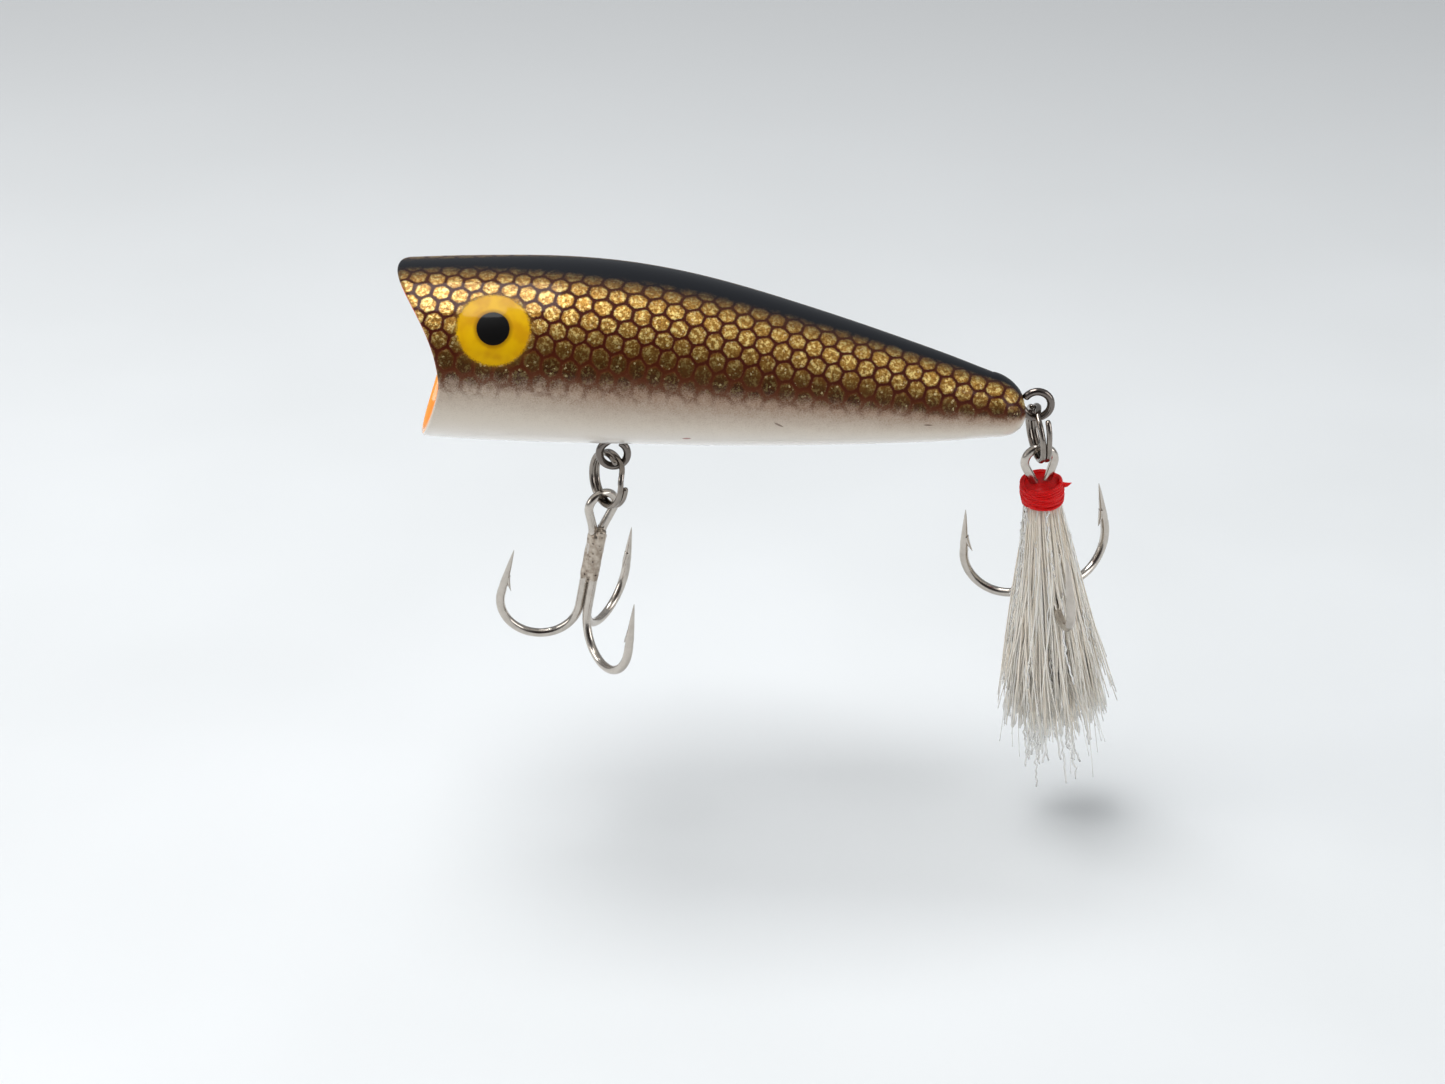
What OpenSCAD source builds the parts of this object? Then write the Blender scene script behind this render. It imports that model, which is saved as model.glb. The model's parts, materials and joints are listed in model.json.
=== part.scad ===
// Topwater popper: a hollow moulded plug with a cupped mouth, three screw eyes, and two treble hooks
// on split rings, the rear one dressed with thread, hair and tinsel. Millimetres.
// +X runs from mouth to tail and +Z is up. The origin is the centre of the line-tie eye.
// In the body's own numbers, x starts at the upper lip and z = 0 is the axis of the mouth.

/* [Body] */
// Length from the upper lip to the tail end
body_length = 64; // [62:0.5:68]
// Thickness of the moulded wall
wall = 1.4; // [1:0.1:2]
// Thickness of the lips round the mouth
lip = 0.75; // [0.5:0.05:1.2]
// How far the mouth's sides are cut back behind the upper lip
notch_depth = 4.5; // [3:0.1:6]
// Depth of the cup's floor behind the upper lip
cup_depth = 9.4; // [9.3:0.1:11]

/* [Screw eyes] */
// Outer diameter of each eye
eye_od = 3.7; // [3.5:0.1:4]
// Wire diameter of each eye
eye_wire = 0.8; // [0.7:0.05:0.85]
// Height of the belly eye's centre below the mouth's axis
belly_eye_drop = 12.2; // [12.2:0.1:13]

/* [Split rings] */
// Diameter of the ring along the middle of its wire
ring_diameter = 5.7; // [5.4:0.1:6]
// Wire diameter of the two coils
ring_wire = 0.6; // [0.5:0.02:0.6]

/* [Treble hooks] */
// Wire diameter of the hooks
hook_wire = 0.94; // [0.8:0.02:1]
// Radius of each bend along the middle of the wire
bend_r = 4.25; // [3.8:0.05:4.4]
// Distance from the top of the hook's eye to the middle of the bends
bend_drop = 14.75; // [14:0.05:15.5]
// Straight length from the bend to the point
point_length = 5.5; // [5:0.1:6]

/* [Dressing] */
// Length of the hair below the thread
hair_length = 27; // [22:1:30]
// Radius of the hair's loose end
hair_end_r = 5.7; // [5:0.1:6.5]
// Length of tinsel showing below the hair
tinsel_length = 9.6; // [6:0.2:12]

/* [Inside] */
// Diameter of the rattle balls
ball_d = 3.9; // [3:0.1:4]
// Radius of the rattle chamber
chamber_r = 2.05; // [2.05:0.01:2.1]

/* [Hidden] */
$fn = 48;

// Body outline: [x, top, bottom], for a body 64 long
outline = [
    [0, 9, -9], [7.5, 9.2, -9.5], [17, 9.1, -9.9], [24.7, 8.3, -10.1], [32.8, 6.5, -10.35],
    [43.7, 3.05, -10.45], [54.7, -0.9, -10.3], [60.5, -3.2, -9.95]
];
stretch = body_length / 64;
cap_length = 3.5;
cap_tip_z = -7.2;
sections_per_span = 3;
cap_sections = [0.2, 0.4, 0.58, 0.74, 0.87, 0.95, 0.985];
slice = 0.01;
inside_from = 5;
inside_to = 46;

// Mouth: the rim falls back from both lips to a notch a little below the axis
notch_z = -0.45;
upper_lip_rise = 9.55;
lower_lip_back = 2.7;
lower_lip_rise = 8.65;
cup_side = 4.4;

// Eyes: centres in the body's own numbers
tie_at = [7.3, 0, -0.5];
belly_at = [21.4 * stretch, 0, -belly_eye_drop];
tail_at = [body_length + 1.1, 0, -6.6];
eye_r = (eye_od - eye_wire) / 2;
eye_turn = 306;
neck_r = 0.36;
thread_r = 0.5;
thread_pitch = 0.8;
thread_turns = 8;
hole_r = 0.52;
boss_r = 2.2;
plain_neck = 1;

// Ballast and rattle chamber, along X
ballast_at = [47.6, 0, -6.3];
ballast_r = 2.3;
ballast_length = 7.5;
fit_gap = 0.05;
chamber_at = [25, 0, -3.6];
chamber_length = 18;
chamber_wall = 0.9;
ball_gap = 0.06;
ball_travel = 3;

// Locating pins between the halves: [x, z]
pin_places = [[13.2, 6.2], [13.2, -7], [44.6, -7.9], [56.5, -4]];
pin_r = 0.7;
pin_length = 1.2;
pin_pad_r = 1.7;

// How the hooks hang: roll to the far side, sway towards the mouth, and the ring's turn about its hang line
hang_roll = 5;
belly_sway = 10.3;
tail_sway = -6.3;
belly_ring_turn = 33.5;
tail_ring_turn = 10.3;
ring_r = ring_diameter / 2;
belly_ring_drop = ring_r + 0.3;
tail_ring_drop = ring_r + 0.6;
coil_offset = ring_wire / 2 - 0.01;
hook_grip = 1.36;

// Hook shape. r is the distance from the treble's axis, s the distance below the top of its eye
wire_r = hook_wire / 2;
shank_r = 0.6;
hook_eye_r = 1.58;
hook_eye_s = wire_r + hook_eye_r;
eye_foot_s = 5;
turn_in = 6;
point_cone = 4.3;
barb_height = 0.42;
tip_r = 0.04;
wire_sides = 12;
half_turn = [-1, 0, 1];

// Dressing, by distance below the top of the hook's eye
wrap_top = 3.7;
wrap_bottom = 7.1;
wrap_r = 2.15;
wrap_turns = 7;
wrap_bore = 1.75;
shank_bore = 1.2;
hair_top = 7.15;
hair_top_r = 2.1;
slot_from = 13.8;
slot_to = 19.8;
slot_wide = 1.3;
tinsel_gap = 0.15;
tinsel_top_r = 5.2;
tinsel_end_r = 3.8;

// ---- Body outline ----

// Smooth curve through the outline's points: a Catmull-Rom span from point i to the next
function clamp_i(i) = max(0, min(len(outline) - 1, i));
function point_at(i) = outline[clamp_i(i)];
function span_at(i, t) =
    let (a = point_at(i - 1), b = point_at(i), c = point_at(i + 1), d = point_at(i + 2),
         slope_b = (c - a) * (c[0] - b[0]) / (c[0] - a[0]),
         slope_c = (d - b) * (c[0] - b[0]) / (d[0] - b[0]))
    b * (2 * t^3 - 3 * t^2 + 1) + slope_b * (t^3 - 2 * t^2 + t)
    + c * (3 * t^2 - 2 * t^3) + slope_c * (t^3 - t^2);

// The domed tail cap: q runs from 0 at its start to 1 at the tip
function cap_at(q) = let (start = outline[len(outline) - 1]) [
    start[0] + q * cap_length,
    cap_tip_z + (start[1] - cap_tip_z) * sqrt(1 - q^1.5),
    cap_tip_z + (start[2] - cap_tip_z) * (1 - q^3)^0.45
];

sections = concat(
    [for (i = [0:len(outline) - 2], k = [0:sections_per_span - 1]) span_at(i, k / sections_per_span)],
    [outline[len(outline) - 1]],
    [for (q = cap_sections) cap_at(q)]
);

// Distance of the rim behind the upper lip at a height z
function rim_x(z) = z > notch_z
    ? notch_depth - notch_depth * ((z - notch_z) / upper_lip_rise)^2.2
    : notch_depth - lower_lip_back * ((notch_z - z) / lower_lip_rise)^1.2;

// ---- Body shapes, in the body's own numbers ----

module section_disc(s, inset)
    translate([s[0] * stretch, 0, (s[1] + s[2]) / 2])
        rotate([0, 90, 0]) linear_extrude(slice) circle((s[1] - s[2]) / 2 - inset);

module lofted(inset, from_x, to_x)
    for (i = [0:len(sections) - 2])
        if (sections[i][0] >= from_x && sections[i + 1][0] <= to_x)
            hull() {
                section_disc(sections[i], inset);
                section_disc(sections[i + 1], inset);
            }

module along_x(at, r, length) translate(at) rotate([0, 90, 0]) cylinder(r = r, h = length);

// Everything in front of the rim
module mouth_cut()
    rotate([90, 0, 0]) linear_extrude(40, center = true)
        polygon(concat(
            [[-5, -12]],
            [for (z = [-9.6:0.6:9.6]) [max(-1, rim_x(z)), z]],
            [[-5, 12]]
        ));

// The cup: straight sides, then a floor that is a quarter ellipse in section
module cup(grow)
    rotate([0, 90, 0]) rotate_extrude() polygon(concat(
        [[0, -3], [9 - lip + grow, -3]],
        [for (a = [0:7.5:90]) [
            (9 - lip + grow) * cos(a), cup_side + (cup_depth - cup_side + grow) * sin(a)
        ]]
    ));

module bosses() {
    along_x([cup_depth - 1, 0, tie_at[2]], boss_r, 8);
    translate([belly_at[0], 0, -11]) cylinder(r = boss_r, h = 7.5);
    along_x(chamber_at - [chamber_wall, 0, 0], chamber_r + chamber_wall, chamber_length + 2 * chamber_wall);
    for (p = pin_places) translate([p[0], 0, p[1]]) rotate([90, 0, 0])
        cylinder(r = pin_pad_r, h = 24, center = true);
    for (x = [chamber_at[0] + 3, chamber_at[0] + chamber_length - 3])
        translate([x, 0, -15]) cube([wall, 24, 24], center = true);
}

module holes() {
    along_x([tie_at[0], 0, tie_at[2]], hole_r, 9);
    translate(belly_at) cylinder(r = hole_r, h = 8.8);
    along_x([body_length - 7.8, 0, tail_at[2]], hole_r, 12);
    along_x(chamber_at, chamber_r, chamber_length);
    along_x(ballast_at - [fit_gap, 0, 0], ballast_r + fit_gap, ballast_length + 2 * fit_gap);
}

module whole_shell()
    difference() {
        lofted(0, 0, 99);
        difference() {
            lofted(wall, inside_from, inside_to);
            cup(wall);
            bosses();
        }
        mouth_cut();
        cup(0);
        holes();
        // Seat of the tail eye's ring
        translate(tail_at) rotate([90, 0, 0]) cylinder(r = eye_od / 2 + 0.15, h = 1.2, center = true);
    }

module pins(r, length)
    for (p = pin_places) translate([p[0], 0, p[1]]) rotate([90, 0, 0])
        cylinder(r = r, h = 2 * length, center = true);

// side is -1 for the near half and 1 for the far half. The near half carries the pins
module half_space(side) translate([-10, side > 0 ? 0 : -30, -30]) cube([100, 30, 60]);

module in_row_frame() translate(-tie_at) children();

module left_shell()
    color([0.62, 0.5, 0.28]) in_row_frame() {
        intersection() {
            whole_shell();
            half_space(-1);
        }
        intersection() {
            pins(pin_r, pin_length);
            translate([0, -0.3, -20]) cube([80, 10, 40]);
        }
    }

module right_shell()
    color([0.58, 0.47, 0.26]) in_row_frame()
        difference() {
            intersection() {
                whole_shell();
                half_space(1);
            }
            pins(pin_r + fit_gap, pin_length + 0.2);
        }

// ---- Screw eyes ----

// An open eye in the XZ plane with its threaded shank going up. Its cut end is on the +X side
module screw_eye(shank)
    color([0.33, 0.32, 0.31]) {
        rotate([90, 0, 0]) rotate_extrude(angle = eye_turn, start = 90)
            translate([eye_r, 0]) circle(eye_wire / 2);
        thread_from = eye_r + plain_neck;
        translate([0, 0, eye_r]) cylinder(r = neck_r, h = plain_neck + 0.2);
        rotate_extrude() polygon(concat(
            [[0, thread_from], [neck_r, thread_from]],
            [for (k = [0:thread_turns - 1], p = [[neck_r, 0.1], [thread_r, 0.5]])
                [p[0], thread_from + (k + p[1]) * (shank - 0.6) / thread_turns]],
            [[neck_r, thread_from + shank - 0.6], [0, thread_from + shank]]
        ));
    }

module line_tie() rotate([0, 90, 0]) screw_eye(6);
module belly_screw_eye() translate(belly_at - tie_at) screw_eye(6);
module tail_screw_eye() translate(tail_at - tie_at) rotate([0, -90, 0]) screw_eye(5.4);

// ---- Inside pieces ----

module tail_ballast()
    color([0.45, 0.45, 0.47]) along_x(ballast_at - tie_at, ballast_r, ballast_length);

module rattle_ball(i)
    color([0.7, 0.71, 0.72])
        translate(chamber_at - tie_at + [ball_travel + (i + 0.5) * (ball_d + ball_gap), 0, 0])
            sphere(d = ball_d);

module rattle_ball_1() rattle_ball(0);
module rattle_ball_2() rattle_ball(1);
module rattle_ball_3() rattle_ball(2);

// ---- Split rings ----

// Two coils side by side round the X axis. Each coil has its cut end
module split_ring()
    color([0.42, 0.4, 0.38])
        difference() {
            rotate([0, 90, 0]) rotate_extrude() for (side = [-1, 1])
                translate([ring_r, side * coil_offset]) circle(ring_wire / 2);
            for (side = [-1, 1])
                rotate([90 + side * 35, 0, 0]) translate([side * 0.31, 0, ring_r])
                    cube([0.6, 0.15, 1], center = true);
        }

// Places children so that -Z is the hang line from the eye at a place
module hung(at, sway, turn)
    translate(at - tie_at) rotate([0, sway, 0]) rotate([hang_roll, 0, 0]) rotate([0, 0, turn]) children();

module on_belly_line() hung(belly_at, belly_sway, belly_ring_turn) children();
module on_tail_line() hung(tail_at, tail_sway, tail_ring_turn) children();

module belly_split_ring() on_belly_line() translate([0, 0, -belly_ring_drop]) split_ring();
module tail_split_ring() on_tail_line() translate([0, 0, -tail_ring_drop]) split_ring();

// Places children in the treble's own frame: its eye's top at the origin, the single prong towards +X
module treble_place(drop) translate([0, 0, hook_grip - drop - ring_r]) rotate([0, 0, -90]) children();

module on_belly() on_belly_line() treble_place(belly_ring_drop) children();
module on_tail() on_tail_line() treble_place(tail_ring_drop) children();

// ---- Hooks: a wire swept along stations of [point, side direction, radius, barb] ----

function unit(v) = v / norm(v);
function along(path, i) = unit(path[min(i + 1, len(path) - 1)][0] - path[max(i - 1, 0)][0]);

function wire_ring(path, i) =
    let (t = along(path, i), n = unit(cross(path[i][1], t)), b = cross(t, n))
    [for (k = [0:wire_sides - 1])
        let (a = 360 * k / wire_sides, reach = path[i][2] + path[i][3] * max(0, cos(a))^6)
        path[i][0] + reach * (n * cos(a) + b * sin(a))];

module wire(path) {
    rings = len(path);
    last = (rings - 1) * wire_sides;
    polyhedron(
        points = [for (i = [0:rings - 1]) each wire_ring(path, i)],
        faces = concat(
            [[for (k = [wire_sides - 1:-1:0]) k]],
            [for (i = [0:rings - 2], k = [0:wire_sides - 1])
                let (a = i * wire_sides + k, b = i * wire_sides + (k + 1) % wire_sides)
                [a, b, b + wire_sides, a + wire_sides]],
            [[for (k = [0:wire_sides - 1]) last + k]]
        )
    );
}

// One prong in the upright plane at a turn about the axis, from the shank down, round and up to the point
function in_plane(turn, r, s) = [r * cos(turn), r * sin(turn), -s];
function barb_at(t) = t > 5.3 || t < 3.6 ? 0 : barb_height * min(1, (t - 3.6) / 1.5);
function point_r(t) = t > point_cone ? wire_r : tip_r + (wire_r - tip_r) * t / point_cone;

function prong(turn) =
    let (
        side = [-sin(turn), cos(turn), 0],
        leg_r = shank_r + bend_r + bend_r * cos(turn_in),
        leg_s = bend_drop - bend_r * sin(turn_in)
    )
    concat(
        [for (s = [8:3:14]) [in_plane(turn, shank_r, s), side, wire_r, 0]],
        [for (a = [180:-12:0]) [
            in_plane(turn, shank_r + bend_r + bend_r * cos(a), bend_drop + bend_r * sin(a)), side, wire_r, 0
        ]],
        [for (t = [5.6, 5.32, 5.1, 4.6, 4.1, 3.6, 2.4, 1.2, 0]) [
            in_plane(turn, leg_r - (point_length - t) * sin(turn_in),
                     leg_s - (point_length - t) * cos(turn_in)),
            side, point_r(t), barb_at(t)
        ]]
    );

function reversed(list) = [for (i = [len(list) - 1:-1:0]) list[i]];
function flip_side(list) = [for (p = list) [p[0], -p[1], p[2], p[3]]];

// The double hook's eye: an arc over the top, with straight sides that close on the two shanks
eye_back = -shank_r * cos(60);
foot_y = shank_r * sin(60);
foot_drop = eye_foot_s - hook_eye_s;
foot_reach = norm([foot_y, foot_drop]);
eye_half_turn = 180 - atan(foot_y / foot_drop) - acos(hook_eye_r / foot_reach);
foot_round = 0.5;

function eye_point(y, s) = [eye_back, y, -s];
function eye_foot(side) =
    let (
        foot = [side * foot_y, eye_foot_s],
        top = [side * hook_eye_r * sin(eye_half_turn), hook_eye_s - hook_eye_r * cos(eye_half_turn)],
        before = foot + unit(top - foot) * foot_round,
        after = foot + [0, foot_round]
    )
    [for (p = [before, (before + 2 * foot + after) / 4, after]) [eye_point(p[0], p[1]), [1, 0, 0], wire_r, 0]];

eye_path = concat(
    reversed(eye_foot(-1)),
    [for (a = [-1:0.125:1]) [
        eye_point(hook_eye_r * sin(a * eye_half_turn), hook_eye_s - hook_eye_r * cos(a * eye_half_turn)),
        [1, 0, 0], wire_r, 0
    ]],
    eye_foot(1)
);

double_path = concat(reversed(flip_side(prong(-120))), eye_path, prong(120));
single_path = concat(
    [[in_plane(0, shank_r, 5.6), [0, 1, 0], wire_r * 0.6, 0], [in_plane(0, shank_r, 5.9), [0, 1, 0], wire_r, 0]],
    prong(0)
);

module double_hook() color([0.5, 0.49, 0.47]) wire(double_path);
module single_hook() color([0.56, 0.55, 0.53]) wire(single_path);

// The brazing that fills the valleys between the three shanks
module braze()
    color([0.5, 0.42, 0.32]) translate([0, 0, -11.8]) linear_extrude(5.6)
        difference() {
            circle(0.8);
            for (turn = [0, 120, 240]) rotate(turn) translate([shank_r, 0]) circle(wire_r + 0.01);
        }

module belly_double_hook() on_belly() double_hook();
module belly_single_hook() on_belly() single_hook();
module belly_braze() on_belly() braze();
module tail_double_hook() on_tail() double_hook();
module tail_single_hook() on_tail() single_hook();
module tail_braze() on_tail() braze();

// ---- Dressing, in the tail treble's frame ----

module thread_wrap()
    color([0.78, 0.05, 0.06]) on_tail() {
        pitch = (wrap_bottom - wrap_top) / wrap_turns;
        rotate_extrude() polygon(concat(
            [[wrap_bore, -wrap_top]],
            [for (k = [0:wrap_turns - 1], p = [[-0.2, 0.05], [0, 0.3], [0, 0.7], [-0.2, 0.95]])
                [wrap_r + p[0], -wrap_top - (k + p[1]) * pitch]],
            [[shank_bore, -wrap_bottom], [shank_bore, -eye_foot_s - 0.4]]
        ));
    }

module hair_dressing()
    color([0.85, 0.83, 0.79]) on_tail()
        difference() {
            translate([0, 0, -hair_top - hair_length])
                cylinder(r1 = hair_end_r, r2 = hair_top_r, h = hair_length);
            translate([0, 0, -slot_to]) cylinder(r = shank_bore, h = slot_to);
            for (turn = [0, 120, 240]) rotate([0, 0, turn])
                translate([0, -slot_wide / 2, -slot_to]) cube([9, slot_wide, slot_to - slot_from]);
        }

module tinsel_strands()
    color([0.8, 0.82, 0.84]) on_tail()
        translate([0, 0, -hair_top - hair_length - tinsel_gap - tinsel_length])
            cylinder(r1 = tinsel_end_r, r2 = tinsel_top_r, h = tinsel_length);

left_shell();
right_shell();
line_tie();
belly_screw_eye();
tail_screw_eye();
tail_ballast();
rattle_ball_1();
rattle_ball_2();
rattle_ball_3();
belly_split_ring();
tail_split_ring();
belly_double_hook();
belly_single_hook();
belly_braze();
tail_double_hook();
tail_single_hook();
tail_braze();
thread_wrap();
hair_dressing();
tinsel_strands();
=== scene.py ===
"""Topwater popper: a painted plug with a cupped mouth and two treble hooks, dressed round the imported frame.

Shapes are worked out in millimetres in the row's frame (+X from mouth to tail, +Z up, origin in the line-tie
eye) and turned into metres when a mesh is made. In the body's own numbers, x starts at the upper lip and
z = 0 is the axis of the mouth.
"""
import json
import math

import bpy
import numpy as np
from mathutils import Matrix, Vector


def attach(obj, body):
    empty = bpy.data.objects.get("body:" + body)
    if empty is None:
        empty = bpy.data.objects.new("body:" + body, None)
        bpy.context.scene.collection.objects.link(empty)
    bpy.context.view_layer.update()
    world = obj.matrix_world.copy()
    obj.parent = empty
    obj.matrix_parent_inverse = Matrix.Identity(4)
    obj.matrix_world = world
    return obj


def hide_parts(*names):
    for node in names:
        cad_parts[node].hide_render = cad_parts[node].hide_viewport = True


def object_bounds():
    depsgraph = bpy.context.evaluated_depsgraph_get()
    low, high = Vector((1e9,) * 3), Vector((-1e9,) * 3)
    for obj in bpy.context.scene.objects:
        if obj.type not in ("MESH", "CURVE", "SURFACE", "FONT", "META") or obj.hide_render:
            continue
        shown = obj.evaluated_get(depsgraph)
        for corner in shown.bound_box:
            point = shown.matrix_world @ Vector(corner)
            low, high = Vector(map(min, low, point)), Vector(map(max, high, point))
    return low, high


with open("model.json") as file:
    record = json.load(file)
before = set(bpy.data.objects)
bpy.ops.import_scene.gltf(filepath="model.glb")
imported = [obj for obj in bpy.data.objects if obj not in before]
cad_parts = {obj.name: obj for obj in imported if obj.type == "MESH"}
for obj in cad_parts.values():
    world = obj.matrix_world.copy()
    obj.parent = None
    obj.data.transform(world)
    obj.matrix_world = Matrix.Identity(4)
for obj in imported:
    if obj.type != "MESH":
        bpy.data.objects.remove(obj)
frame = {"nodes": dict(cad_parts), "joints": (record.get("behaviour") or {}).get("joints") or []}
CAD_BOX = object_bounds()
MM = 0.001

# ---------------------------------------------------------------- sizes and places, in millimetres

TIE = np.array([7.3, 0.0, -0.5])  # the row's origin in the body's own numbers
JOINTS = {j["name"]: j for j in frame["joints"]}


def joint_place(name):
    return np.array(JOINTS[name]["pos_m"]) / MM


BELLY_EYE = joint_place("belly_ring_swing")
TAIL_EYE = joint_place("tail_ring_swing")
OUTLINE = np.array([
    [0, 9, -9], [7.5, 9.2, -9.5], [17, 9.1, -9.9], [24.7, 8.3, -10.1], [32.8, 6.5, -10.35],
    [43.7, 3.05, -10.45], [54.7, -0.9, -10.3], [60.5, -3.2, -9.95],
])
CAP_START, CAP_LENGTH, CAP_TIP_Z = 60.5, 3.5, -7.2
NOTCH_DEPTH, NOTCH_Z = 4.5, -0.45
UPPER_LIP_RISE, UPPER_LIP_CURVE = 9.55, 2.2
LOWER_LIP_BACK, LOWER_LIP_RISE, LOWER_LIP_CURVE = 2.7, 8.65, 1.2
LIP = 0.75
CUP_SIDE, CUP_FLOOR = 4.4, 9.4
EYE_X, EYE_UP, EYE_R, PUPIL_R = 10.1, 35.2, 3.68, 1.64
EYE_DOME = 0.3
FAR_FROM_EYE = 30
NET_FACING = 24.0  # degrees up where the net touches the body
NET_FALL, NET_FALL_MORE, NET_FALL_FROM = 12, 11, (16, 34)

SCREW_R, SCREW_WIRE = 1.45, 0.4
SCREW_CUT, SCREW_BEND = 420, 128  # degrees round the eye of its cut end and of the bend into its shank
SCREW_SHANK_R, SCREW_PITCH = 0.36, 0.72
RING_R, RING_WIRE = 2.85, 0.3
HANG_ROLL = 5.0
HANG_SWAY = {"belly": 10.3, "tail": -6.3}
RING_TURN = {"belly": 33.5, "tail": 10.3}
HOOK_GRIP = 1.36
WIRE_R, SHANK_R = 0.47, 0.6
BEND_R, BEND_S, POINT_LENGTH, TURN_IN = 4.25, 14.75, 5.5, 6.0
CONE_LENGTH, BARB_FROM, BARB_LENGTH, BARB_LIFT = 4.6, 3.3, 1.95, 0.72
NICK_AT, NICK_HALF, NICK_DEPTH = 4.75, 0.3, 0.08
NOT_THE_POINT = 99.0
HOOK_EYE_R, EYE_FOOT_S = 1.58, 5.0
WRAP_TOP, WRAP_BOTTOM, WRAP_R = 4.3, 6.75, 2.1
WRAP_LAYERS = ((11, 0.14, 0.0, 0.17), (7, -0.34, 0.12, 0.17), (3, 0.55, 0.2, 0.16))  # turns, tilt, lift, radius
HAIR_TOP, HAIR_LENGTH, HAIR_END_R = 6.6, 27.0, 5.4
HAIR_COUNT, HAIR_LOCKS, HAIR_ROOT_R, HAIR_WAVE = 1500, 46, 1.75, 0.4
HAIR_LENGTHS, STRAND_R, HAIR_STATIONS, HAIR_CLEAR = (21.5, 28.5), (0.1, 0.045), 11, 0.59
CORE_ROOT_R, CORE_SPREAD = 1.65, 0.82
TINSEL_COUNT, TINSEL_LONG, TINSEL_REACH, TINSEL_ROOT_R = 150, 52, 43.5, 1.9
TINSEL_R, TINSEL_FLAT, TINSEL_CLEAR = 0.11, 0.3, 0.62
STRAY_COUNT, STRAY_R, STRAY_CLEAR = 16, 0.045, 0.6
STRAND_SIDES, STRAND_UP = 4, (1, 0.1, 0)
BRAZE_SEED, WRAP_SEED, HAIR_SEED, TINSEL_SEED = {"belly": 3, "tail": 5}, 11, 7, 19


# ---------------------------------------------------------------- small helpers

def rot_x(deg):
    c, s = math.cos(math.radians(deg)), math.sin(math.radians(deg))
    return np.array([[1, 0, 0], [0, c, -s], [0, s, c]])


def rot_y(deg):
    c, s = math.cos(math.radians(deg)), math.sin(math.radians(deg))
    return np.array([[c, 0, s], [0, 1, 0], [-s, 0, c]])


def rot_z(deg):
    c, s = math.cos(math.radians(deg)), math.sin(math.radians(deg))
    return np.array([[c, -s, 0], [s, c, 0], [0, 0, 1]])


def smooth(x, lo, hi):
    """0 below lo and 1 above hi, with an even curve between them."""
    t = np.clip((np.asarray(x, float) - lo) / (hi - lo), 0, 1)
    return t * t * (3 - 2 * t)


def unit_rows(v):
    return v / np.maximum(np.linalg.norm(v, axis=1, keepdims=True), 1e-12)


def make_piece(name, points, faces, material, body, replaces, attributes=None):
    """A smooth-shaded mesh from points in millimetres. It rides on a body and replaces CAD nodes."""
    mesh = bpy.data.meshes.new(name)
    mesh.from_pydata((np.asarray(points) * MM).tolist(), [], [list(map(int, f)) for f in faces])
    for key, values in (attributes or {}).items():
        values = np.asarray(values, np.float32)
        kind, field = ("FLOAT_VECTOR", "vector") if values.ndim == 2 else ("FLOAT", "value")
        layer = mesh.attributes.new(key, kind, "POINT")
        layer.data.foreach_set(field, values.ravel())
    mesh.validate()
    mesh.polygons.foreach_set("use_smooth", [True] * len(mesh.polygons))
    mesh.materials.append(material)
    piece = bpy.data.objects.new(name, mesh)
    bpy.context.scene.collection.objects.link(piece)
    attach(piece, body)
    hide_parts(*replaces)


class Shapes:
    """Gathers several closed shapes into one list of points and faces."""

    def __init__(self):
        self.points, self.faces, self.count = [], [], 0

    def add(self, points, faces):
        self.points.append(np.asarray(points, float))
        self.faces += [[i + self.count for i in f] for f in faces]
        self.count += len(points)

    def all_points(self):
        return np.vstack(self.points)


def tube_faces(rings, sides):
    """Faces of a tube of rings of points, with a flat cap at each end."""
    faces = [list(range(sides - 1, -1, -1))]
    for i in range(rings - 1):
        for k in range(sides):
            a, b = i * sides + k, i * sides + (k + 1) % sides
            faces.append([a, b, b + sides, a + sides])
    faces.append([(rings - 1) * sides + k for k in range(sides)])
    return faces


def sweep(path, radius, sides=16, up=(0, 0, 1), flat=1.0, shape=None):
    """A closed tube along a path.

    radius is one number, or one for each station, and shape(i, angles) scales it. flat thins the tube one way.
    """
    path = np.asarray(path, float)
    radius = np.broadcast_to(radius, len(path))
    tangent = unit_rows(np.gradient(path, axis=0))
    normal = np.empty_like(path)
    n = np.cross(np.asarray(up, float), tangent[0])
    n = n if np.linalg.norm(n) > 1e-6 else np.cross([1.0, 0.3, 0.2], tangent[0])
    for i, t in enumerate(tangent):
        n = n - t * np.dot(n, t)
        n = n / np.linalg.norm(n)
        normal[i] = n
    side = np.cross(tangent, normal)
    angles = np.arange(sides) * 2 * math.pi / sides
    rings = []
    for i in range(len(path)):
        r = radius[i] * (np.ones(sides) if shape is None else shape(i, angles))
        rings.append(path[i] + np.outer(r * np.cos(angles), normal[i])
                     + np.outer(r * np.sin(angles) * flat, side[i]))
    return np.vstack(rings), tube_faces(len(path), sides)


def arc(centre, radius, a0, a1, steps, u, v):
    """Points on an arc from a0 to a1 degrees in the plane of u and v."""
    a = np.radians(np.linspace(a0, a1, steps))
    return centre + radius * (np.outer(np.cos(a), u) + np.outer(np.sin(a), v))


# ---------------------------------------------------------------- materials

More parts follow.
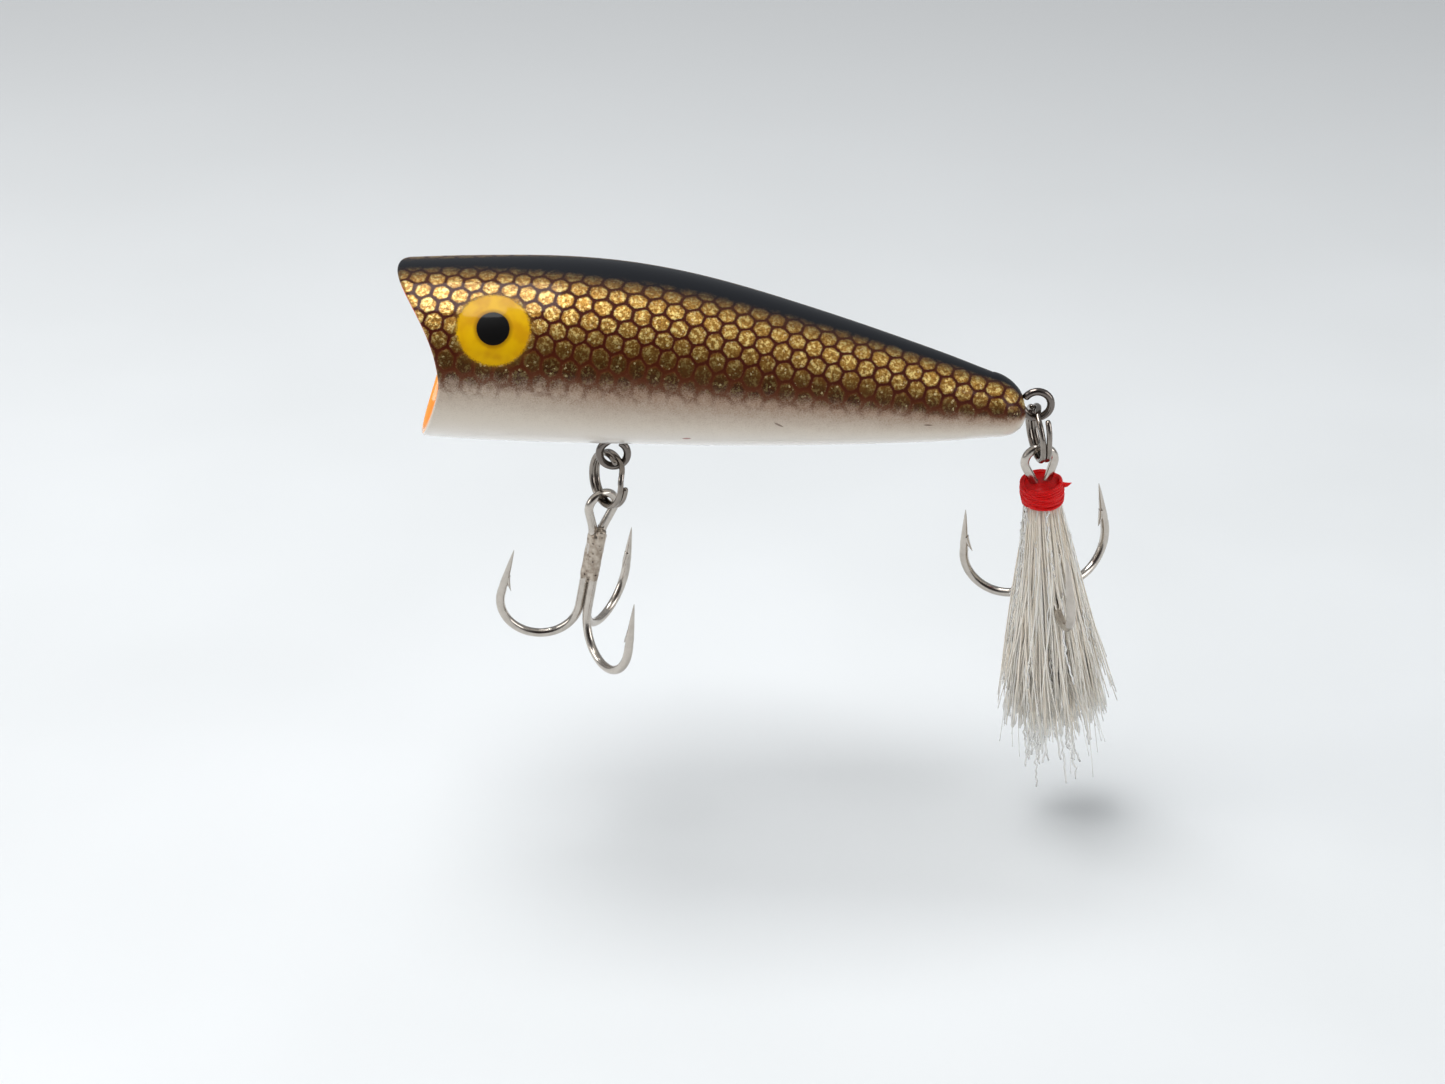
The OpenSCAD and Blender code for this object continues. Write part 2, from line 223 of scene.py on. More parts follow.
class Nodes:
    """Short names for the shader nodes that the materials use."""

    def __init__(self, name):
        self.material = bpy.data.materials.new(name)
        self.material.use_nodes = True
        self.tree = self.material.node_tree
        self.bsdf = self.tree.nodes["Principled BSDF"]

    def node(self, kind, inputs, output=0, **settings):
        n = self.tree.nodes.new(kind)
        for key, value in settings.items():
            setattr(n, key, value)
        for key, value in inputs.items():
            if isinstance(value, bpy.types.NodeSocket):
                self.tree.links.new(value, n.inputs[key])
            else:
                n.inputs[key].default_value = value
        return n.outputs[output]

    def math(self, operation, a, b):
        return self.node("ShaderNodeMath", {0: a, 1: b}, operation=operation)

    def add(self, a, b):
        return self.math("ADD", a, b)

    def sub(self, a, b):
        return self.math("SUBTRACT", a, b)

    def mul(self, a, b):
        return self.math("MULTIPLY", a, b)

    def step(self, value, lo, hi):
        """0 at lo and 1 at hi, with an even curve between them. lo may be the larger number."""
        return self.node("ShaderNodeMapRange", {"Value": value, "From Min": lo, "From Max": hi},
                         interpolation_type="SMOOTHSTEP")

    def vector(self, operation, a, b=(0, 0, 0), c=(0, 0, 0), output=0):
        return self.node("ShaderNodeVectorMath", {0: a, 1: b, 2: c}, output, operation=operation)

    def split(self, vector):
        n = self.tree.nodes.new("ShaderNodeSeparateXYZ")
        self.tree.links.new(vector, n.inputs[0])
        return n.outputs

    def attribute(self, name, output="Fac"):
        n = self.tree.nodes.new("ShaderNodeAttribute")
        n.attribute_name = name
        return n.outputs[output]

    def place(self):
        """Position on the object, in millimetres."""
        n = self.tree.nodes.new("ShaderNodeTexCoord")
        return self.vector("MULTIPLY", n.outputs["Object"], (1 / MM,) * 3)

    def noise(self, where, scale, detail=2.0, roughness=0.5, output=0):
        return self.node("ShaderNodeTexNoise", {"Vector": where, "Scale": scale, "Detail": detail,
                                                "Roughness": roughness}, output)

    def mix(self, factor, a, b):
        n = self.tree.nodes.new("ShaderNodeMix")
        n.data_type = "RGBA"
        for socket, value in ((n.inputs[0], factor), (n.inputs[6], a), (n.inputs[7], b)):
            if isinstance(value, bpy.types.NodeSocket):
                self.tree.links.new(value, socket)
            else:
                socket.default_value = value
        return n.outputs[2]

    def bump(self, height, strength, distance, normal=None):
        inputs = {"Height": height, "Strength": strength, "Distance": distance * MM}
        if normal is not None:
            inputs["Normal"] = normal
        return self.node("ShaderNodeBump", inputs)

    def set(self, **values):
        for key, value in values.items():
            socket = self.bsdf.inputs[key.replace("_", " ")]
            if isinstance(value, bpy.types.NodeSocket):
                self.tree.links.new(value, socket)
            else:
                socket.default_value = value


def rgb(r, g, b):
    """A colour given as it looks on screen, 0 to 255, turned into linear light."""
    def linear(c):
        c /= 255
        return c / 12.92 if c <= 0.04045 else ((c + 0.055) / 1.055) ** 2.4

    return (linear(r), linear(g), linear(b), 1.0)


# The paint's places are given as degrees up from the middle of the side, and its widths in scales
SCALE_PITCH, SCALE_ROW = 1.88, 1.63  # millimetres along a row and from row to row
HEX_TALL = math.sqrt(3)
SCALE_ROUNDING = 0.93
SCALES_EDGE = (-5, 9)
HAZE_EDGE, HAZE_MOST = (-36, 10), 0.94
TEETH_EDGE = (-11, 3)
BACK_EDGE, BACK_SHADE_EDGE = (64, 77), (50, 70)
BLACK_LIP_EDGE = (64, 72)
# Degrees up over which the painted shade on the lower gold lifts
GOLD_PAINTED_SHADE_EDGE = (6, 60)
LINE_WIDTH, LINE_SOFT, LINE_BLUR = 0.078, (0.034, 0.03), 0.09
HALO_WIDTH = 0.75
PAINT_SPECULAR = 0.08  # the clear coat gives the shine
KNOCKS = (  # place along the body, degrees up, slope, colour
    (29.1, -42, 0.1, (150, 62, 44)),
    (38.4, -21, -0.6, (120, 96, 80)),
    (53.6, -15, 0.0, (92, 62, 42)),
)


def paint_material():
    """Gold scales sprayed through a net over a pale belly, with a dark back, a yellow eye and an orange cup."""
    n = Nodes("lure_paint")
    place = n.place()
    net = n.attribute("net", "Vector")
    along, up, side = n.split(n.attribute("lure", "Vector"))
    eye = n.attribute("eye")
    cup = n.attribute("cup")

    # Scales: the nearer centre of two staggered grids, in a net that isn't quite even
    wander = n.noise(net, 0.45, 2.0, 0.5, 1)
    wander = n.vector("MULTIPLY_ADD", wander, (0.5, 0.5, 0.0), (-0.25, -0.25, 0.0))
    where = n.vector("MULTIPLY", n.vector("ADD", net, wander), (1 / SCALE_PITCH, HEX_TALL / 2 / SCALE_ROW, 0.0))
    half = (0.5, HEX_TALL / 2, 1.0)
    low = (-0.5, -HEX_TALL / 2, -1.0)
    near_a = n.vector("WRAP", where, half, low)
    near_b = n.vector("WRAP", n.vector("ADD", where, (0.5, HEX_TALL / 2, 0.0)), half, low)

    def reach(v):
        ax, ay, _ = n.split(n.vector("ABSOLUTE", v))
        flat = n.math("MAXIMUM", ax, n.add(n.mul(ax, 0.5), n.mul(ay, HEX_TALL / 2)))
        return n.math("MAXIMUM", flat, n.mul(n.vector("LENGTH", v, output=1), SCALE_ROUNDING))

    reach_a, reach_b = reach(near_a), reach(near_b)
    inside = n.sub(0.5, n.math("MINIMUM", reach_a, reach_b))
    is_b = n.math("LESS_THAN", reach_b, reach_a)
    centre_a = n.vector("SUBTRACT", where, near_a)
    centre_b = n.vector("SUBTRACT", where, near_b)
    cell = n.mix(is_b, centre_a, centre_b)
    cell_random = n.node("ShaderNodeTexWhiteNoise", {"Vector": n.vector("SNAP", cell, (0.25, 0.25, 1))},
                         noise_dimensions="2D")

    # Unevenness of the sprayed paint
    speck = n.noise(place, 7.0, 3.0, 0.7)
    drift = n.noise(place, 1.1, 2.0, 0.5)
    fine = n.noise(place, 16.0, 2.0, 0.6)
    ragged = n.add(n.mul(n.sub(speck, 0.5), 13.0), n.mul(n.sub(drift, 0.5), 9.0))
    up_ragged = n.add(up, ragged)

    # Metal flake, crinkled inside each scale, with painted light on the gold: painted shade low on the side,
    # painted highlights on the crinkles' ridges, painted shade in their hollows and painted glints on some
    # flakes
    flake = n.node("ShaderNodeTexVoronoi", {"Vector": place, "Scale": 5.2, "Randomness": 1.0}, 1)
    flake_random = n.node("ShaderNodeSeparateColor", {0: flake})
    crinkle = n.noise(place, 2.6, 3.0, 0.7)
    gold_painted_shade, gold_mid, gold_painted_highlight = rgb(54, 20, 4), rgb(200, 150, 70), rgb(255, 232, 150)
    # Painted shade: the gold darkens towards the lower side
    gold = n.mix(n.step(up_ragged, *GOLD_PAINTED_SHADE_EDGE), gold_painted_shade, gold_mid)
    # Painted highlight on the crinkles' ridges, stronger higher up where the top light falls
    painted_glint = n.mul(n.step(crinkle, 0.5, 0.6), n.add(0.12, n.mul(n.step(up, 16, 44), 0.75)))
    gold = n.mix(painted_glint, gold, gold_painted_highlight)
    # Painted shade in the crinkles' hollows
    gold = n.mix(n.mul(n.step(crinkle, 0.47, 0.38), 0.6), gold, rgb(92, 52, 18))
    gold = n.mix(n.mul(cell_random, 0.22), gold, rgb(122, 86, 44))
    gold = n.mix(n.mul(n.step(up, 58, 72), 0.35), gold, rgb(140, 104, 66))
    # Painted glints: a few flakes coloured bright as if catching the light, from the middle of the side up
    painted_sparkle = n.mul(n.step(flake_random, 0.955, 0.985), n.step(up, 0, 14))
    gold = n.mix(n.mul(painted_sparkle, 0.5), gold, rgb(255, 236, 180))

    # The net: dark ragged lines with rusty edges, blurred into overspray along the lower edge
    blur = n.sub(1.0, n.step(up, -6, 16))
    line_wide = n.add(LINE_WIDTH, n.mul(n.sub(speck, 0.5), 0.17))
    line_core = n.sub(line_wide, LINE_SOFT[0])
    line_end = n.add(n.add(line_wide, LINE_SOFT[1]), n.mul(blur, LINE_BLUR))
    line = n.sub(1.0, n.step(inside, line_core, line_end))
    line_dark = n.mix(n.step(up, 0, 30), rgb(92, 42, 14), rgb(64, 14, 4))
    rust = n.sub(1.0, n.step(n.add(inside, n.mul(n.sub(speck, 0.5), 0.08)), 0.05, 0.2))
    scales = n.mix(n.mul(rust, 0.5), gold, rgb(110, 56, 20))
    scales = n.mix(n.mul(line, n.add(0.62, n.mul(n.step(up, -2, 14), 0.36))), scales, line_dark)

    # Belly, with dusty brown overspray under the scales
    belly = n.mix(n.step(up, -62, -20), rgb(234, 228, 221), rgb(224, 211, 194))
    belly = n.mix(n.mul(n.step(speck, 0.5, 0.8), 0.22), belly, rgb(150, 132, 112))
    haze_up = n.sub(up_ragged, n.mul(n.sub(1.0, n.step(along, 6, 24)), 9.0))
    haze = n.mul(n.step(haze_up, *HAZE_EDGE), n.add(0.5, n.mul(speck, 0.6)))
    belly = n.mix(n.math("MINIMUM", haze, HAZE_MOST), belly, rgb(132, 80, 30))
    dots = n.mul(n.step(fine, 0.73, 0.8), n.step(up, -75, -8))
    belly = n.mix(n.mul(dots, 0.35), belly, rgb(104, 78, 58))
    teeth = n.mul(n.mul(line, n.step(up_ragged, *TEETH_EDGE)), 0.6)  # the net's lines run on a little way
    belly = n.mix(teeth, belly, rgb(84, 44, 18))
    colour = n.mix(n.step(up_ragged, *SCALES_EDGE), belly, scales)

    # Dark back, narrower near the mouth
    back_edge = n.add(up, n.add(n.mul(n.sub(speck, 0.5), 9.0), n.mul(n.sub(drift, 0.5), 6.0)))
    back_edge = n.sub(back_edge, n.mul(n.sub(1.0, n.step(along, 3, 26)), 8.5))
    back = n.step(back_edge, *BACK_EDGE)
    colour = n.mix(n.mul(n.step(back_edge, *BACK_SHADE_EDGE), 0.55), colour, rgb(70, 48, 32))
    colour = n.mix(back, colour, rgb(20, 22, 27))

    # Small knocks in the paint of the near side
    for x, height, slope, shade in KNOCKS:
        dx = n.sub(along, x)
        dz = n.sub(n.mul(n.sub(up, height), 0.14), n.mul(dx, slope))
        far = n.add(n.math("POWER", n.mul(dx, 1.9), 2.0), n.math("POWER", n.mul(dz, 5.5), 2.0))
        mark = n.mul(n.sub(1.0, n.step(far, 0.3, 1.1)), n.step(side, -0.2, 0.2))
        colour = n.mix(n.mul(mark, 0.8), colour, rgb(*shade))

    # Eye: brown halo, yellow disc with a dusty edge, black pupil
    eye_dust = n.add(eye, n.mul(n.sub(speck, 0.5), 0.75))
    halo = n.mul(n.sub(1.0, n.step(eye_dust, EYE_R, EYE_R + HALO_WIDTH)), 0.5)
    colour = n.mix(halo, colour, rgb(120, 84, 30))
    yellow = n.mix(n.step(n.noise(place, 0.5), 0.35, 0.7), rgb(222, 172, 2), rgb(204, 148, 4))
    yellow = n.mix(n.mul(n.step(eye, PUPIL_R + 0.5, PUPIL_R), 0.65), yellow, rgb(122, 76, 4))
    yellow = n.mix(n.mul(n.step(fine, 0.7, 0.8), 0.25), yellow, rgb(140, 90, 6))
    disc = n.sub(1.0, n.step(eye_dust, EYE_R - 0.22, EYE_R + 0.16))
    pupil = n.sub(1.0, n.step(n.add(eye, n.mul(n.sub(fine, 0.5), 0.1)), PUPIL_R - 0.04, PUPIL_R + 0.05))
    colour = n.mix(disc, colour, yellow)
    colour = n.mix(pupil, colour, rgb(12, 11, 11))

    # Cup: red-orange high, yellow-orange low, with the brush's edge on the rim
    cup_edge = n.step(n.add(cup, n.mul(n.sub(speck, 0.5), 0.16)), 0.3, 0.42)
    orange = n.mix(n.step(up, -40, 40), rgb(255, 168, 66), rgb(232, 84, 24))
    orange = n.mix(n.mul(n.step(drift, 0.4, 0.7), 0.35), orange, rgb(255, 166, 74))
    black_lip = n.mul(n.step(up, *BLACK_LIP_EDGE), n.sub(1.0, n.step(cup, 0.72, 0.8)))
    colour = n.mix(n.mul(cup_edge, n.sub(1.0, black_lip)), colour, orange)

    # Metal flake only where gold shows
    bare = n.mul(n.mul(n.sub(1.0, disc), n.sub(1.0, back)), n.sub(1.0, cup_edge))
    gold_area = n.mul(n.mul(n.step(up_ragged, -4, 14), bare), n.sub(1.0, n.mul(line, 0.9)))
    height = n.add(n.mul(flake_random, 0.5), crinkle)
    rough_skin = n.bump(n.mul(height, gold_area), 0.9, 0.13)
    skin = n.bump(n.noise(place, 0.9, 1.0), 0.12, 0.12, rough_skin)
    roughness = n.add(0.5, n.mul(gold_area, -0.14))
    roughness = n.add(roughness, n.mul(n.sub(speck, 0.5), 0.12))
    n.set(Base_Color=colour, Metallic=n.mul(gold_area, 0.72), Roughness=roughness, Normal=skin,
          Specular_IOR_Level=PAINT_SPECULAR, Coat_Roughness=0.07, Coat_IOR=1.45)

    # The clear coat is thick over the belly and thin over the scales and the back
    dry = n.math("MAXIMUM", n.mul(back, 0.62), n.mul(n.step(up, -30, 0), 0.66))
    n.set(Coat_Weight=n.sub(0.9, dry))
    n.set(Coat_Normal=n.bump(n.noise(place, 0.55, 2.0), 0.09, 0.16))
    return n.material


def wire_material(name, colour, dark, roughness, tarnish):
    """Plated wire: drawn streaks, faint ripple and specks of tarnish."""
    n = Nodes(name)
    place = n.place()
    cloud = n.noise(place, 1.3, 3.0, 0.6)
    specks = n.noise(place, 9.0, 3.0, 0.7)
    spot = n.mul(n.step(specks, 0.62, 0.76), tarnish)
    shade = n.mix(n.mul(n.step(cloud, 0.35, 0.8), 0.4), colour, dark)
    shade = n.mix(spot, shade, rgb(60, 42, 30))
    rough = n.add(roughness, n.add(n.mul(n.sub(cloud, 0.4), 0.1), n.mul(spot, 0.35)))
    n.set(Base_Color=shade, Metallic=1.0, Roughness=rough,
          Normal=n.bump(n.add(n.mul(cloud, 0.8), n.mul(specks, 0.2)), 0.25, 0.06))
    return n.material


def braze_material():
    """Brazed shank: plated over, pitted, brown where the flux burnt."""
    n = Nodes("braze_skin")
    place = n.place()
    pits = n.node("ShaderNodeTexVoronoi", {"Vector": place, "Scale": 2.4, "Randomness": 1.0}, 0)
    cloud = n.noise(place, 1.5, 4.0, 0.65)
    pit = n.mul(n.sub(1.0, n.step(pits, 0.12, 0.34)), n.step(cloud, 0.42, 0.6))
    shade = n.mix(n.step(cloud, 0.3, 0.7), rgb(196, 184, 170), rgb(150, 136, 122))
    shade = n.mix(n.mul(pit, 0.9), shade, rgb(58, 34, 26))
    height = n.sub(n.mul(cloud, 0.7), pit)
    n.set(Base_Color=shade, Metallic=1.0, Roughness=n.add(0.3, n.mul(pit, 0.4)),
          Normal=n.bump(height, 0.5, 0.12))
    return n.material


def thread_material():
    """Waxed red thread, uneven in colour along its fibres."""
    n = Nodes("red_thread")
    place = n.place()
    fibre = n.noise(place, 8.0, 2.0, 0.6)
    shade = n.mix(n.step(fibre, 0.3, 0.75), rgb(196, 2, 4), rgb(250, 8, 10))
    n.set(Base_Color=shade, Roughness=n.add(0.4, n.mul(fibre, 0.2)), Normal=n.bump(fibre, 0.35, 0.05),
          Specular_IOR_Level=0.2, Coat_Weight=0.1, Coat_Roughness=0.2)
    return n.material


def hair_material():
    """Straight off-white hair: each strand has its own shade, and the roots are creamier."""
    n = Nodes("white_hair")
    random, down, _ = n.split(n.attribute("strand", "Vector"))
    shade = n.mix(random, rgb(255, 252, 244), rgb(252, 240, 222))
    shade = n.mix(n.mul(n.step(down, 0.5, 0.0), 0.5), shade, rgb(246, 230, 206))
    shade = n.mix(n.mul(n.step(random, 0.95, 0.98), 0.3), shade, rgb(200, 186, 166))
    n.set(Base_Color=shade, Roughness=0.4, Specular_IOR_Level=0.5, Sheen_Weight=1.0, Sheen_Roughness=0.5)
    return n.material


def tinsel_material():
    """Strips of film: some are clear and pale, some silvered."""
    n = Nodes("clear_tinsel")
    random, _, _ = n.split(n.attribute("strand", "Vector"))
    shade = n.mix(random, rgb(255, 254, 250), rgb(244, 242, 238))
    n.set(Base_Color=shade, Metallic=n.mul(n.step(random, 0.5, 0.7), 0.6), Roughness=0.16,
          Specular_IOR_Level=0.8)
    return n.material


def steel_material(name, colour, roughness):
    """Bare steel with a fine drawn grain."""
    n = Nodes(name)
    place = n.place()
    grain = n.noise(n.vector("MULTIPLY", place, (0.6, 9.0, 9.0)), 1.0, 3.0, 0.6)
    n.set(Base_Color=n.mix(grain, colour, rgb(120, 120, 124)), Metallic=1.0,
          Roughness=n.add(roughness, n.mul(grain, 0.12)), Normal=n.bump(grain, 0.15, 0.03))
    return n.material


# ---------------------------------------------------------------- body

def outline_at(x):
    """Top and bottom of the body at x: a smooth curve through OUTLINE's points."""
    x = np.asarray(x, float)
    xs = OUTLINE[:, 0]
    i = np.clip(np.searchsorted(xs, x, "right") - 1, 0, len(xs) - 2)
    a, b, c, d = (OUTLINE[np.clip(i + k, 0, len(xs) - 1)] for k in (-1, 0, 1, 2))
    width = c[..., 0] - b[..., 0]
    t = (x - b[..., 0]) / width
    out = []
    for k in (1, 2):
        slope_b = (c[..., k] - a[..., k]) * width / (c[..., 0] - a[..., 0])
        slope_c = (d[..., k] - b[..., k]) * width / (d[..., 0] - b[..., 0])
        out.append(b[..., k] * (2 * t**3 - 3 * t**2 + 1) + slope_b * (t**3 - 2 * t**2 + t)
                   + c[..., k] * (3 * t**2 - 2 * t**3) + slope_c * (t**3 - t**2))
    return out


def section_at(x):
    """Centre height and radius of the body at x, the domed tail cap included."""
    x = np.asarray(x, float)
    top, bottom = outline_at(np.minimum(x, CAP_START))
    q = np.clip((x - CAP_START) / CAP_LENGTH, 0, 1)
    top = np.where(x > CAP_START, CAP_TIP_Z + (OUTLINE[-1, 1] - CAP_TIP_Z) * np.sqrt(1 - q**1.5), top)
    bottom = np.where(x > CAP_START, CAP_TIP_Z + (OUTLINE[-1, 2] - CAP_TIP_Z) * (1 - q**3) ** 0.45, bottom)
    return (top + bottom) / 2, (top - bottom) / 2


def rim_x(z):
    """How far back the mouth's rim lies at height z."""
    high = NOTCH_DEPTH - NOTCH_DEPTH * (np.maximum(z - NOTCH_Z, 0) / UPPER_LIP_RISE) ** UPPER_LIP_CURVE
    low = NOTCH_DEPTH - LOWER_LIP_BACK * (np.maximum(NOTCH_Z - z, 0) / LOWER_LIP_RISE) ** LOWER_LIP_CURVE
    return np.where(z > NOTCH_Z, high, low)


def rim_start(angle):
    """Where the rim lies for each angle round the body."""
    x = np.full_like(angle, 2.0)
    for _ in range(12):
        centre, radius = section_at(x)
        x = 0.5 * x + 0.5 * np.maximum(rim_x(centre + radius * np.sin(angle)), 0)
    return x


def make_body(material):
    """The painted skin over both shells: cup, rounded lip, body and tail cap as rings of points."""
    around, rings, cap_rings, lip_rings, cup_rings = 208, 200, 22, 8, 40
    angle = np.arange(around) * 2 * math.pi / around
    start = rim_start(angle)
    lip_r = LIP / 2
    rows = []  # each row: x, centre, radius, cup

    centre0, radius0 = section_at(start)
    for w in np.sin(np.linspace(1, 0, cup_rings, endpoint=False) * math.pi / 2)[1:]:
        x0 = start + lip_r
        x = x0 + (CUP_FLOOR - x0) * w
        open_now = np.sqrt(np.maximum(1 - (np.maximum(x - CUP_SIDE, 0) / (CUP_FLOOR - CUP_SIDE)) ** 2, 0))
        open_rim = np.sqrt(1 - (np.maximum(x0 - CUP_SIDE, 0) / (CUP_FLOOR - CUP_SIDE)) ** 2)
        rows.append((x, centre0, (radius0 - LIP) * open_now / open_rim, np.ones(around)))
    for a in np.linspace(math.pi, 0, lip_rings + 1):
        x = start + lip_r * (1 - math.sin(a))
        rows.append((x, centre0, radius0 - lip_r * (1 - math.cos(a)), np.full(around, a / math.pi)))
    for s in np.linspace(0, 1, rings + 1)[1:]:
        x = start + lip_r + (CAP_START - start - lip_r) * s
        centre, radius = section_at(x)
        rows.append((x, centre, radius, np.zeros(around)))
    for q in np.sin(np.linspace(0, math.pi / 2, cap_rings + 1)[1:-1]):
        x = np.full(around, CAP_START + CAP_LENGTH * q)
        centre, radius = section_at(x)
        rows.append((x, centre, radius, np.zeros(around)))

    x, centre, radius, cup = (np.array([r[k] for r in rows]) for k in range(4))
    theta = np.broadcast_to(angle, x.shape)
    up = np.degrees(np.arcsin(np.clip(np.sin(theta), -1, 1)))
    side = np.cos(theta)

    # The eye is slightly domed
    eye = np.hypot(x - EYE_X, radius * np.radians(up - EYE_UP))
    outer = cup == 0
    raised = np.where(outer, EYE_DOME * 0.5 * (1 + np.cos(math.pi * np.clip(eye / (EYE_R + 0.5), 0, 1))), 0)

    # Lip of paint and sunk hole round the belly eye's shank
    belly_x = BELLY_EYE[0] + TIE[0]
    from_hole = np.hypot(x - belly_x, radius * np.cos(theta))
    under = outer & (np.sin(theta) < 0)
    raised = raised + np.where(under, 0.13 * np.exp(-(((from_hole - 0.85) / 0.28) ** 2)), 0)
    raised = raised - np.where(under, 0.35 * (1 - smooth(from_hole, 0.3, 0.55)), 0)

    y = -(radius + raised) * np.cos(theta)
    z = centre + (radius + raised) * np.sin(theta)

    # Seat of the tail eye: the skin stands back from the ring
    tail_x, tail_z = TAIL_EYE[0] + TIE[0], TAIL_EYE[2] + TIE[2]
    room = SCREW_R + SCREW_WIRE + 0.12
    chord = np.sqrt(np.maximum(room**2 - (z - tail_z) ** 2, 0))
    limit = tail_x - chord
    inside = (chord > 0) & (x > limit) & (np.abs(y) < 0.75)
    x = np.where(inside, limit + (x - limit) * smooth(np.abs(y), 0.42, 0.75), x)

    points = np.stack([x, y, z], -1).reshape(-1, 3)
    floor_point, tip = [CUP_FLOOR, 0, 0], [tail_x - room, 0, CAP_TIP_Z]
    points = np.vstack([points, [floor_point, tip]]) - TIE
    n_rows = len(rows)
    faces = []
    for i in range(n_rows - 1):
        for k in range(around):
            a, b = i * around + k, i * around + (k + 1) % around
            faces.append([a, a + around, b + around, b])
    last, floor_i, tip_i = (n_rows - 1) * around, n_rows * around, n_rows * around + 1
    for k in range(around):
        faces.append([floor_i, k, (k + 1) % around])
        faces.append([tip_i, last + (k + 1) % around, last + k])

    # The net runs at a slope: it falls towards the tail, more steeply behind the shoulder
    fall = np.radians(NET_FALL + NET_FALL_MORE * smooth(x, *NET_FALL_FROM))
    steps = np.linspace(0, 66, 400)
    step_fall = np.radians(NET_FALL + NET_FALL_MORE * smooth(steps, *NET_FALL_FROM))
    run = np.interp(x, steps, np.cumsum(np.cos(step_fall)) * (steps[1] - steps[0]))
    drop = np.interp(x, steps, np.cumsum(np.sin(step_fall)) * (steps[1] - steps[0]))
    low = radius * np.radians(NET_FACING - up)
    low = np.where(low > 0, low * 0.8, low)
    low = low - centre
    net_x = run + low * np.sin(fall) + np.where(side < 0, 0.7, 0)
    net_y = low * np.cos(fall) - drop + np.where(side < 0, 0.5, 0)
    net = np.stack([net_x, net_y, np.zeros_like(x)], -1).reshape(-1, 3)
    lure = np.stack([x, up, side], -1).reshape(-1, 3)

    def pad(values, at_floor, at_tip):
        return np.concatenate([values.reshape(-1), [at_floor, at_tip]])

    attributes = {
        "net": np.vstack([net, net[0], net[-1]]),
        "lure": np.vstack([lure, [CUP_FLOOR, 0, 0], [CAP_START + CAP_LENGTH, 0, 0]]),
        "eye": pad(np.where(outer, eye, FAR_FROM_EYE), FAR_FROM_EYE, FAR_FROM_EYE),
        "cup": pad(cup, 1, 0),
    }
    make_piece("painted_plug", points, faces, material, "lure_body",
               ("left_shell", "right_shell"), attributes)


# ---------------------------------------------------------------- screw eyes and split rings

def screw_eye_shape(shank):
    """An open eye round the origin in the XZ plane, its shank going up, threaded beyond a plain neck."""
    x_axis, z_axis = np.array([1.0, 0, 0]), np.array([0, 0, 1.0])
    ring = arc(np.zeros(3), SCREW_R, SCREW_CUT, SCREW_BEND, 100, x_axis, z_axis)
    tangent = ring[-1] - ring[-2]
    tangent = tangent / np.linalg.norm(tangent)
    neck_end = np.array([0, 0, SCREW_R + 0.95])
    t = np.linspace(0, 1, 16)[1:, None]
    a, b, c = ring[-1], ring[-1] + tangent * 0.75, neck_end - z_axis * 0.75
    neck = a * (1 - t) ** 3 + 3 * b * t * (1 - t) ** 2 + 3 * c * t**2 * (1 - t) + neck_end * t**3
    stem_z = np.arange(neck_end[2] + 0.06, neck_end[2] + shank, 0.06)
    stem = np.stack([0 * stem_z, 0 * stem_z, stem_z], -1)
    path = np.vstack([ring, neck, stem])
    radius = np.full(len(path), SCREW_WIRE)
    radius[:3] = SCREW_WIRE * np.array([0.86, 0.96, 1.0])
    stem_from = len(path) - len(stem)
    radius[stem_from:] = SCREW_SHANK_R
    radius[-14:] = np.linspace(SCREW_SHANK_R, 0.06, 14)
    turns = stem_z / SCREW_PITCH

    def thread(i, angles):
        if i < stem_from + 4 or i > len(path) - 8:
            return np.ones_like(angles)
        phase = (turns[i - stem_from] - angles / (2 * math.pi)) % 1.0
        return 1 + 0.4 * np.maximum(0, 1 - np.abs(phase - 0.5) / 0.28)

    return sweep(path, radius, 24, up=(0, 1, 0), shape=thread)


def make_screw_eye(name, node, centre, turn, shank, material):
    points, faces = screw_eye_shape(shank)
    make_piece(name, points @ turn.T + centre, faces, material, "lure_body", (node,))


def hang_of(which):
    """How a ring and its hook hang from their eye."""
    return rot_y(HANG_SWAY[which]) @ rot_x(HANG_ROLL) @ rot_z(RING_TURN[which])


def split_ring_shape(sprung):
    """One wire of nearly two turns round the X axis. sprung is how far its loose end stands out."""
    turn = np.arange(35, 702, 3.0)
    offset = -RING_WIRE + 2 * RING_WIRE * smooth(turn, 350, 395)
    loose = smooth(turn, 640, 700)
    radius = RING_R + sprung * loose**1.5
    a = np.radians(turn)
    path = np.stack([offset + 0.5 * sprung * loose, radius * np.sin(a), radius * np.cos(a)], -1)
    wire = np.full(len(path), RING_WIRE)
    wire[:3] = RING_WIRE * np.array([0.72, 0.93, 1.0])
    wire[-3:] = RING_WIRE * np.array([1.0, 0.93, 0.72])
    return sweep(path, wire, 20, up=(1, 0, 0))


def make_split_ring(which, sprung, start, material):
    centre = joint_place(f"{which}_hook_swing")
    turn = hang_of(which) @ rot_x(start)
    points, faces = split_ring_shape(sprung)
    make_piece(f"{which}_ring_coil", points @ turn.T + centre, faces, material, f"{which}_ring",
               (f"{which}_split_ring",))


# ---------------------------------------------------------------- treble hooks

def treble_frame(which):
    """Rotation and origin of the treble's own frame: its eye's top at the origin, -Z down the shank."""
    ring = joint_place(f"{which}_hook_swing")
    hang = hang_of(which)
    return hang @ rot_z(-90), ring + hang @ np.array([0, 0, HOOK_GRIP - RING_R])


